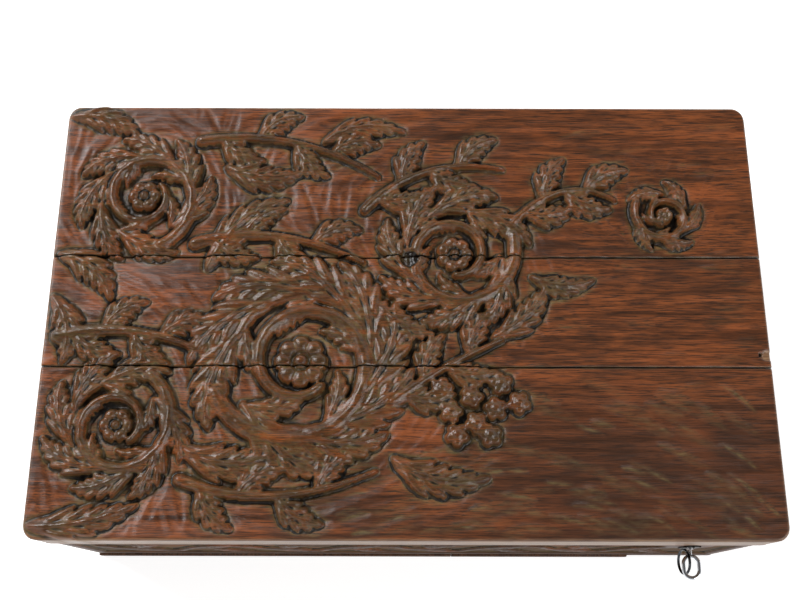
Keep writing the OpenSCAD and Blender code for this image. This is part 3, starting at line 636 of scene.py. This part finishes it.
class LidRelief:
    """The carved top of the whole lid on one grid, in millimetres above its ground."""

    def __init__(self):
        self.step = 0.8
        half_x = LID_FRONT[1].x / MM
        half_y = LID_BACK[1].y / MM
        self.x0 = -half_x
        self.y0 = -half_y
        x, y = np.meshgrid(np.arange(-half_x, half_x + self.step, self.step),
                           np.arange(-half_y, half_y + self.step, self.step))
        peak = sizes().carve_height / MM
        work = Carving(x * LAYOUT[0] / (2 * half_x), y * LAYOUT[1] / (2 * half_y))
        carve_links(work, peak)
        carve_sprays(work, peak)
        carve_scrolls(work, peak)
        carve_waves(work)
        waves = work.cut.copy()
        work.cut[:] = 0
        carve_ripples(work)
        strokes = work.cut * (1 - work.cover)
        dense = blur(work.cover, int(20 / self.step))
        beside = blur(work.cover, int(2.8 / self.step)) * (1 - work.cover)
        patchy = soft_noise(x / 17, y / 17, 51)
        grain = soft_noise(x / 34, y / 2.6, 13) + 0.6 * soft_noise(x / 16, y / 1.3, 19)
        low = 1.1 * ramp(dense, 0.05, 0.6) + 2.6 * ramp(beside, 0.0, 0.65) * (0.45 + 0.9 * patchy)
        ground = -low - waves - strokes - 0.22 * grain
        tool = 0.5 * soft_noise(x / 2.6, y / 2.6, 17) + 0.5 * soft_noise(x / 5.3, y / 4.1, 29)
        raised = work.raised - 0.45 * tool - 0.12 * grain
        height = blur(np.where(work.cover > 0, raised, ground), 1)
        self.height = np.minimum(height, peak)
        wide = blur(blur(self.height, 4), 4) - self.height
        fine = blur(blur(self.height, 1), 1) - self.height
        # How deep each point lies below its neighbours: middling values get olive patina, the deepest the
        # nearly black painted shade
        self.hollow = np.clip(0.42 + wide / 6.0 + fine / 1.5 + ramp(beside, 0.1, 0.6) * 0.1, 0, 1)
        near = ramp(blur(work.cover, int(7 / self.step)), 0.04, 0.5)
        self.dust = np.clip(near * (0.3 + 1.0 * patchy) * (1 - 0.6 * work.cover) + strokes * 0.3, 0, 1)
        self.rub = blur(work.cover, 2) * ramp(self.height, 1.0, 4.5)
        # Darker towards the front right of the lid, in soft patches
        self.stain = ramp(x, -20, 130) * ramp(-y, 30, 95) * (0.45 + 0.4 * soft_noise(x / 24, y / 11, 71))

    def at(self, field, x, y):
        """The values of one field at the given places."""
        u = np.clip((x - self.x0) / self.step, 0, field.shape[1] - 1.001)
        v = np.clip((y - self.y0) / self.step, 0, field.shape[0] - 1.001)
        i = v.astype(int)
        j = u.astype(int)
        fu = u - j
        fv = v - i
        return ((field[i, j] * (1 - fu) + field[i, j + 1] * fu) * (1 - fv)
                + (field[i + 1, j] * (1 - fu) + field[i + 1, j + 1] * fu) * fv)


class Board:
    """The plan of one lid board on a grid of cells, in millimetres."""

    def __init__(self, node):
        low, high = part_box(node)
        self.low = low / MM
        self.high = high / MM
        cell = sizes().cell / MM
        self.columns = int(round((self.high.x - self.low.x) / cell))
        self.rows = int(round((self.high.y - self.low.y) / cell))
        ends = (self.low.y, self.high.y)
        self.seams = [end for end in ends if abs(end) < LID_BACK[1].y / MM - 1]

    def in_seam(self, y):
        """Whether a place in metres lies on a seam between two boards."""
        return any(abs(y - seam * MM) < 0.0003 for seam in self.seams)

    def plan(self):
        """The grid's points, drawn in at the lid's rounded corners, and their distance to the lid's edge."""
        u = np.linspace(self.low.x, self.high.x, self.columns + 1)
        v = np.linspace(self.low.y, self.high.y, self.rows + 1)
        x, y = np.meshgrid(u, v)
        r = sizes().corner / MM
        half_x = self.high.x
        half_y = LID_BACK[1].y / MM
        inset_y = np.clip(r - (half_y - np.abs(y)), 0, r)
        drawn = r - np.sqrt(np.clip(r * r - inset_y**2, 0, None))
        x = x - np.sign(x) * drawn * ramp(np.abs(x), half_x - 3 * r, half_x)
        gap_x = np.abs(x) - (half_x - r)
        gap_y = np.abs(y) - (half_y - r)
        outside = np.hypot(np.clip(gap_x, 0, None), np.clip(gap_y, 0, None))
        edge = r - np.where((gap_x > 0) & (gap_y > 0), outside, np.maximum(gap_x, gap_y))
        return x, y, np.clip(edge, 0, None)


# Old damage of the lid in millimetres: middle, half widths and depth of each pit.
# A chip at the end of the middle board, a worm hole, and a loss at the back seam
CHIP = ((247.5, -32.6), (4.2, 3.4), 1.3)
WORM_HOLE = ((242.8, -32.0), (1.3, 1.1), 3.0)
SEAM_LOSS = ((2.0, 36.5), (6.5, 6.0), 3.0)


def dent(x, y, spot):
    """A pit with a soft rim: how far each point is into it, from 0 to 1."""
    (cx, cy), (rx, ry) = spot[:2]
    return ramp(1.3 - np.hypot((x - cx) / rx, (y - cy) / ry), 0, 0.5)


def board_surface(relief, board, top):
    """Places and attributes of the carved grid of one board, in millimetres."""
    x, y, edge = board.plan()
    height = relief.at(relief.height, x, y)
    height = np.where(height < 0, height * (0.3 + 0.7 * ramp(edge, 2, 12)), height)
    height = np.minimum(height, 0.2 + edge * 1.1)
    r = sizes().lid_edge / MM
    drop = np.where(edge < r, r - np.sqrt(np.clip(r**2 - (r - edge) ** 2, 0, None)), 0)
    pits = {spot: dent(x, y, spot) for spot in (CHIP, WORM_HOLE, SEAM_LOSS)}
    sunk = sum(spot[2] * amount for spot, amount in pits.items())
    seam = np.zeros_like(x, dtype=bool)
    for seam_y in board.seams:
        seam |= np.abs(y - seam_y) < 0.2
    z = top / MM + height - drop - sunk - np.where(seam, 0.8, 0)
    z = np.clip(z, top / MM - 9, LID_PEAK / MM - 0.02)
    worn = ramp(-edge, -2.2, -0.4) * (0.45 + 0.5 * soft_noise(x / 9, y / 9, 61))
    worn = np.maximum(worn, pits[CHIP])
    # The seams are dark joints; the worm hole and the loss at the seam take the painted shade of the deep
    # cuts
    hollow = np.where(seam, 0.9, relief.at(relief.hollow, x, y))
    hollow = np.maximum(hollow, np.maximum(pits[WORM_HOLE], pits[SEAM_LOSS]))
    worn = worn * (1 - pits[WORM_HOLE])
    fields = {name: relief.at(getattr(relief, name), x, y) for name in ("dust", "rub", "stain")}
    fields.update(hollow=hollow, worn=worn)
    return x, y, z, fields


def side_wear(y):
    """How far the stain is worn off the sides of the lid: nearly bare at the front, less elsewhere."""
    return 0.9 if y < LID_FRONT[0].y + 0.001 else 0.55


def board_walls(bm, board, top, low_z, layers):
    """The sides of a carved board, drawn down from the rim of its grid and closed below."""
    rim = [e for e in bm.edges if e.is_boundary]
    start_z = top - sizes().lid_edge - 0.0006
    for share in (0.0, 0.35, 0.7, 1.0):
        made = bmesh.ops.extrude_edge_only(bm, edges=rim)
        rim = [e for e in made["geom"] if isinstance(e, bmesh.types.BMEdge)]
        for vert in {v for e in rim for v in e.verts}:
            vert.co.z = min(vert.co.z, start_z + (low_z - start_z) * share)
            in_seam = board.in_seam(vert.co.y)
            vert[layers["worn"]] = 0.0 if in_seam else side_wear(vert.co.y)
            vert[layers["hollow"]] = 0.9 if in_seam else 0.4
    bmesh.ops.triangle_fill(bm, use_beauty=True, use_dissolve=False, edges=rim)


def join_cut_solid(bm, node, plane_co, plane_no):
    """Adds the part of a node's solid that lies behind a plane, closed at the plane."""
    solid = solid_copy(node)
    cut = bmesh.ops.bisect_plane(
        solid, geom=solid.verts[:] + solid.edges[:] + solid.faces[:],
        plane_co=plane_co, plane_no=plane_no, clear_outer=True)
    loops = [e for e in cut["geom_cut"] if isinstance(e, bmesh.types.BMEdge)]
    bmesh.ops.triangle_fill(solid, use_beauty=True, use_dissolve=False, edges=loops)
    rest = bpy.data.meshes.new("rest")
    solid.to_mesh(rest)
    solid.free()
    bm.from_mesh(rest)
    bpy.data.meshes.remove(rest)


def grid_with_fields(columns, rows, place, fields):
    """A grid whose points go where place(i, j) says, with one attribute for each field: (bmesh, layers)."""
    bm = bmesh.new()
    bmesh.ops.create_grid(bm, x_segments=columns, y_segments=rows, size=1.0)
    layers = {name: bm.verts.layers.float.new(name) for name in fields}
    for vert in bm.verts:
        i = int(round((vert.co.y + 1) / 2 * rows))
        j = int(round((vert.co.x + 1) / 2 * columns))
        for name, field in fields.items():
            vert[layers[name]] = field[i, j]
        vert.co = place(i, j)
    return bm, layers


def carved_board(node, relief, top, low_z):
    """One lid board: a carved grid, its sides, and the plain underside of its solid."""
    board = Board(node)
    x, y, z, fields = board_surface(relief, board, top)
    bm, layers = grid_with_fields(
        board.columns, board.rows, lambda i, j: (x[i, j] * MM, y[i, j] * MM, z[i, j] * MM), fields)
    board_walls(bm, board, top, low_z, layers)
    join_cut_solid(bm, node, (0, 0, low_z), (0, 0, 1))
    layers = {name: bm.verts.layers.float[name] for name in fields}
    bmesh.ops.recalc_face_normals(bm, faces=bm.faces)
    for face in bm.faces:
        face.smooth = face.normal.z > 0.15
        if face.normal.z < -0.9 and face.calc_center_median().z < LID_UNDER + 0.002:
            face.material_index = 1
    for vert in bm.verts:
        if vert.co.z < low_z - TOUCH:
            vert[layers["worn"]] = 0.0 if board.in_seam(vert.co.y) else side_wear(vert.co.y)
            vert[layers["hollow"]] = 0.45
    return finish_piece(
        node + "_carved", bm, ["carved waxed oak", "inner oak across"], "lid", [node])


class KEEPSAKE_OT_lid(bpy.types.Operator):
    """Makes the three carved boards of the lid"""

    bl_idname = "keepsake.lid"
    bl_label = "Carved lid boards"

    def execute(self, context):
        relief = LidRelief()
        for node in LID_BOARDS:
            carved_board(node, relief, LID_PEAK - sizes().carve_height, LID_UNDER + sizes().underside)
        return {"FINISHED"}


# Cell of the front board's grid, how deep its carved layer goes, and its opening round the keyhole
FRONT_CELL = 0.001
FRONT_LAYER = 0.003
KEYHOLE_ROOM = 0.004
KEYHOLE_DROP = 0.009


class KEEPSAKE_OT_front(bpy.types.Operator):
    """Makes the front board of the body with its low carving"""

    bl_idname = "keepsake.front"
    bl_label = "Carved front board"

    def execute(self, context):
        low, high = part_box("front_board")
        layer_y = low.y + FRONT_LAYER
        columns = int(round((high.x - low.x) / FRONT_CELL))
        rows = int(round((high.z - low.z) / FRONT_CELL))
        x, z = np.meshgrid(
            np.linspace(low.x, high.x, columns + 1) / MM, np.linspace(low.z, high.z, rows + 1) / MM)
        depth, hollow = front_carving(x, z, low / MM, high / MM)
        edge = np.minimum(np.minimum(x - low.x / MM, high.x / MM - x), high.z / MM - z)
        fields = {"hollow": hollow, "worn": ramp(-edge, -3.0, -1.0) * 0.9,
                  "dust": ramp(depth, 0.6, 1.8) * 0.15, "rub": ramp(-depth, -0.8, -0.1) * 0.8}
        bm, layers = grid_with_fields(
            columns, rows, lambda i, j: (x[i, j] * MM, low.y + depth[i, j] * MM, z[i, j] * MM), fields)
        gone = []
        for face in bm.faces:
            c = face.calc_center_median()
            if abs(c.x - KEYHOLE.x) < KEYHOLE_ROOM and -KEYHOLE_DROP < c.z - KEYHOLE.z < KEYHOLE_ROOM:
                gone.append(face)
        bmesh.ops.delete(bm, geom=gone, context="FACES")
        rim = [e for e in bm.edges if e.is_boundary]
        made = bmesh.ops.extrude_edge_only(bm, edges=rim)
        rim = [e for e in made["geom"] if isinstance(e, bmesh.types.BMEdge)]
        for vert in {v for e in rim for v in e.verts}:
            vert.co.y = layer_y
            vert[layers["worn"]] = 0.7
        bmesh.ops.triangle_fill(bm, use_beauty=True, use_dissolve=False, edges=rim)
        join_cut_solid(bm, "front_board", (0, layer_y, 0), (0, -1, 0))
        layers = {name: bm.verts.layers.float[name] for name in fields}
        bmesh.ops.recalc_face_normals(bm, faces=bm.faces)
        for face in bm.faces:
            face.smooth = face.normal.y < -0.15
        for vert in bm.verts:
            if vert.co.y > layer_y + TOUCH:
                vert[layers["worn"]] = 0.35
                vert[layers["hollow"]] = 0.45
        finish_piece("front_board_carved", bm, ["front oak"], "body", ["front_board"])
        return {"FINISHED"}


def front_carving(x, z, low, high):
    """Low running leaves on the front: their depth behind the face in millimetres, and how hollow it is."""
    deep = sizes().front_relief / MM
    middle = (low.z + high.z) / 2
    work = Carving(x, z)
    step = 52.0
    count = int((high.x - low.x - 40) / step)
    start = low.x + 20
    for i in range(count):
        x0 = start + i * step
        up = 1 if i % 2 else -1
        run = sweep(
            (x0, middle - 20 * up), (x0 + step * 0.5, middle + 40 * up), (x0 + step, middle + 20 * up))
        work.stem(run, 3.4, deep, 0.2)
        work.leaf((x0 + 10, middle), (x0 + 34, middle + 10 * up), (x0 + 44, middle + 36 * up), 10, deep, 5)
        work.leaf(
            (x0 + 24, middle - 4 * up), (x0 + 30, middle - 26 * up), (x0 + 52, middle - 38 * up), 9, deep, 5)
        work.rosette(x0 + 30, middle - 12 * up, 6.5, 6, deep)
    clear = ramp(np.hypot(x - KEYHOLE.x / MM, z - KEYHOLE.z / MM), 15, 22)
    raised = np.where(work.cover > 0, work.raised, 0.0)
    ground = 0.35 * soft_noise(x / 7, z / 2.5, 31)
    depth = deep - raised + np.where(work.cover > 0, 0, ground)
    margin = np.minimum(np.minimum(x - low.x, high.x - x), np.minimum(z - low.z, high.z - z))
    kept = ramp(margin, 5, 9) * clear
    depth = depth * kept + 0.12 * soft_noise(x / 12, z / 3, 37) * (1 - kept)
    wide = blur(depth, 4)
    # Painted shade: points deeper than their neighbours get more of the nearly black shade of the cuts
    hollow = np.clip(0.41 + (depth - wide) / 2.2 + 0.06 * depth, 0, 1)
    depth = np.where(margin < 1.2, depth + (1.2 - margin) * 0.5, depth)
    return np.clip(depth, 0.0, 2.4), hollow


# The plain boards: finish, finish of the arrises, slot
BOARDS = {
    "back_board": ("body oak along", "worn oak", "body_wood"),
    "end_board_left": ("body oak across", "worn oak", "body_wood"),
    "end_board_right": ("body oak across", "worn oak", "body_wood"),
    "bottom_board_left": ("body oak across", "body oak across", "bottom_wood"),
    "bottom_board_mid_left": ("body oak across", "body oak across", "bottom_wood"),
    "bottom_board_mid_right": ("body oak across", "body oak across", "bottom_wood"),
    "bottom_board_narrow": ("body oak across", "body oak across", "bottom_wood"),
    "lid_batten_left": ("inner oak across", "inner oak across", "inner_wood"),
    "lid_batten_right": ("inner oak across", "inner oak across", "inner_wood"),
}
BODY_OF = {n: b for b, nodes in frame["record"]["behaviour"]["bodies"].items() for n in nodes}


class KEEPSAKE_OT_boards(bpy.types.Operator):
    """Makes the plain boards and battens, with worn arrises"""

    bl_idname = "keepsake.boards"
    bl_label = "Plain boards"

    def execute(self, context):
        for node, (finish, arris_finish, slot) in BOARDS.items():
            bm = solid_copy(node)
            long_edges = [
                e for e in bm.edges
                if e.calc_length() > 0.03 and len(e.link_faces) == 2
                and e.calc_face_angle(0) > 0.6 and e.is_convex]
            made = bmesh.ops.bevel(
                bm, geom=long_edges, offset=sizes().arris * 0.6, offset_type="OFFSET", segments=2,
                profile=0.5, affect="EDGES", clamp_overlap=True, material=-1)
            for face in made["faces"]:
                face.material_index = 1
                face.smooth = True
            bmesh.ops.recalc_face_normals(bm, faces=bm.faces)
            finish_piece(node + "_finished", bm, [finish, arris_finish], BODY_OF[node], [node])
        return {"FINISHED"}


METAL_FINISH = {
    "batten_screws": "wrought iron", "corner_nails": "wrought iron", "bottom_nails": "wrought iron",
    "hinge_left_body_leaf": "tarnished brass", "hinge_left_lid_leaf": "tarnished brass",
    "hinge_left_pin": "tarnished brass", "hinge_right_body_leaf": "tarnished brass",
    "hinge_right_lid_leaf": "tarnished brass", "hinge_right_pin": "tarnished brass",
    "hinge_body_screws": "tarnished brass", "hinge_lid_screws": "tarnished brass",
    "lock_case": "dull steel", "lock_cap": "dull steel", "lock_key_pin": "dull steel",
    "lock_bolt": "tarnished brass", "lock_screws": "wrought iron", "link_plate": "dull steel",
    "link_plate_screws": "wrought iron", "keyhole_plate": "black iron", "keyhole_plate_pins": "black iron",
    "key": "bright chrome", "split_ring": "chrome with painted dark reflections",
}


class KEEPSAKE_OT_metal(bpy.types.Operator):
    """Gives the hinges, the lock, the screws and the nails their finish"""

    bl_idname = "keepsake.metal"
    bl_label = "Metal parts"

    def execute(self, context):
        for node, finish in METAL_FINISH.items():
            mesh = frame["nodes"][node].data
            mesh.materials.clear()
            mesh.materials.append(material(finish))
        return {"FINISHED"}


def add_lamp(name, place, aim, size, watts, colour=(1, 1, 1)):
    """One soft square lamp, turned towards a point."""
    data = bpy.data.lights.new(name, "AREA")
    data.shape = "RECTANGLE"
    data.size, data.size_y = size
    data.energy = watts
    data.color = colour
    lamp = bpy.data.objects.new(name, data)
    lamp.location = place
    lamp.rotation_euler = (Vector(aim) - Vector(place)).to_track_quat("-Z", "Y").to_euler()
    bpy.context.scene.collection.objects.link(lamp)
    return lamp


class KEEPSAKE_OT_stage(bpy.types.Operator):
    """Makes the floor, the lamps, the world and the camera"""

    bl_idname = "keepsake.stage"
    bl_label = "Stage"

    def execute(self, context):
        scene = context.scene
        scene.view_settings.view_transform = "Standard"
        bm = bmesh.new()
        bmesh.ops.create_grid(bm, x_segments=1, y_segments=1, size=6.0)
        mesh = bpy.data.meshes.new("floor")
        bm.to_mesh(mesh)
        bm.free()
        floor = bpy.data.objects.new("floor", mesh)
        scene.collection.objects.link(floor)
        mesh.materials.append(floor_material())
        world = bpy.data.worlds.new("studio")
        world.use_nodes = True
        scene.world = world
        tree = world.node_tree
        tree.nodes.clear()
        rays = add_node(tree, "ShaderNodeLightPath").node.outputs
        seen = add_node(tree, "ShaderNodeMath", {"operation": "MAXIMUM"}, {
            0: rays["Is Glossy Ray"], 1: rays["Is Transmission Ray"]})
        direction = add_node(tree, "ShaderNodeTexCoord", out="Generated")
        height = add_node(tree, "ShaderNodeSeparateXYZ", inputs={0: direction}, out="Z")
        wall = amount_of(tree, (height, 0.35, 0.7, 1.0, CEILING_GLOW))
        strength = add_node(tree, "ShaderNodeMix", {"data_type": "FLOAT"}, {0: seen, 2: ROOM_GLOW, 3: wall})
        strength = add_node(tree, "ShaderNodeMix", {"data_type": "FLOAT"}, {
            0: rays["Is Camera Ray"], 2: strength, 3: 1.0})
        light = add_node(tree, "ShaderNodeBackground", inputs={"Color": (1, 1, 1, 1), "Strength": strength})
        add_node(tree, "ShaderNodeOutputWorld", inputs={"Surface": light})
        add_lamp("back left softbox", (-1.5, 1.0, 1.7), (0, 0, 0.1), (0.9, 0.9), 42, (0.97, 0.98, 1.0))
        add_lamp("front right softbox", (1.4, -1.1, 1.5), (0, 0, 0.1), (1.0, 0.8), 18)
        add_camera(scene)
        return {"FINISHED"}


# How brightly the camera and the reflections see the floor, and how bright the dim ceiling and the room are
FLOOR_GLOW = 0.6
CEILING_GLOW = 0.1
ROOM_GLOW = 0.34


def floor_material():
    """A matt pale floor that the camera and the reflections see as white, and that keeps the shadow."""
    made, tree, shader = new_material("studio floor")
    shader.inputs["Base Color"].default_value = tuple(colours().floor)
    shader.inputs["Roughness"].default_value = 0.9
    rays = add_node(tree, "ShaderNodeLightPath").node.outputs
    seen = rays["Is Camera Ray"]
    for kind in ("Is Glossy Ray", "Is Transmission Ray"):
        seen = add_node(tree, "ShaderNodeMath", {"operation": "MAXIMUM"}, {0: seen, 1: rays[kind]})
    shader.inputs["Emission Color"].default_value = (1, 1, 1, 1)
    glow = amount_of(tree, (seen, 0, 1, 0, FLOOR_GLOW))
    tree.links.new(glow, shader.inputs["Emission Strength"])
    return made


# The photograph's view: focal length in pixels of an image 800 wide, and where the camera stands
PHOTO_WIDTH = 800
FOCAL_PX = 1001.6
CAMERA_PLACE = (-0.0044, -0.2049, 0.8093)
CAMERA_TILT = 17.655
CAMERA_ROLL = 0.128
CAMERA_YAW = 0.016


def add_camera(scene):
    """The camera at the photograph's place: it looks down, tipped a little towards the back."""
    data = bpy.data.cameras.new("camera")
    data.sensor_width = 36
    data.lens = FOCAL_PX / PHOTO_WIDTH * data.sensor_width
    camera = bpy.data.objects.new("camera", data)
    turn = Matrix.Rotation(math.radians(CAMERA_YAW), 4, "Z")
    tip = Matrix.Rotation(math.radians(CAMERA_TILT), 4, "X")
    roll = Matrix.Rotation(math.radians(CAMERA_ROLL), 4, "Z")
    camera.matrix_world = Matrix.Translation(CAMERA_PLACE) @ turn @ tip @ roll
    scene.collection.objects.link(camera)
    scene.camera = camera


OPERATORS = (KEEPSAKE_OT_lid, KEEPSAKE_OT_front, KEEPSAKE_OT_boards, KEEPSAKE_OT_metal, KEEPSAKE_OT_stage)


class KEEPSAKE_PT_panel(bpy.types.Panel):
    """Lists the steps that make the box"""

    bl_idname = "KEEPSAKE_PT_panel"
    bl_label = "Keepsake box"
    bl_space_type = "VIEW_3D"
    bl_region_type = "UI"
    bl_category = "Keepsake box"

    def draw(self, context):
        for operator in OPERATORS:
            self.layout.operator(operator.bl_idname)
        for group in (context.scene.keepsake_sizes, context.scene.keepsake_colours):
            for name in group.bl_rna.properties.keys():
                if name not in ("rna_type", "name"):
                    self.layout.prop(group, name)


CLASSES = (BoxSizes, BoxColours, *OPERATORS, KEEPSAKE_PT_panel)


def register():
    for each in CLASSES:
        bpy.utils.register_class(each)
    bpy.types.Scene.keepsake_sizes = bpy.props.PointerProperty(type=BoxSizes)
    bpy.types.Scene.keepsake_colours = bpy.props.PointerProperty(type=BoxColours)


def unregister():
    del bpy.types.Scene.keepsake_colours
    del bpy.types.Scene.keepsake_sizes
    for each in reversed(CLASSES):
        bpy.utils.unregister_class(each)


def main():
    register()
    bpy.ops.keepsake.lid()
    bpy.ops.keepsake.front()
    bpy.ops.keepsake.boards()
    bpy.ops.keepsake.metal()
    bpy.ops.keepsake.stage()


if __name__ == "__main__":
    main()
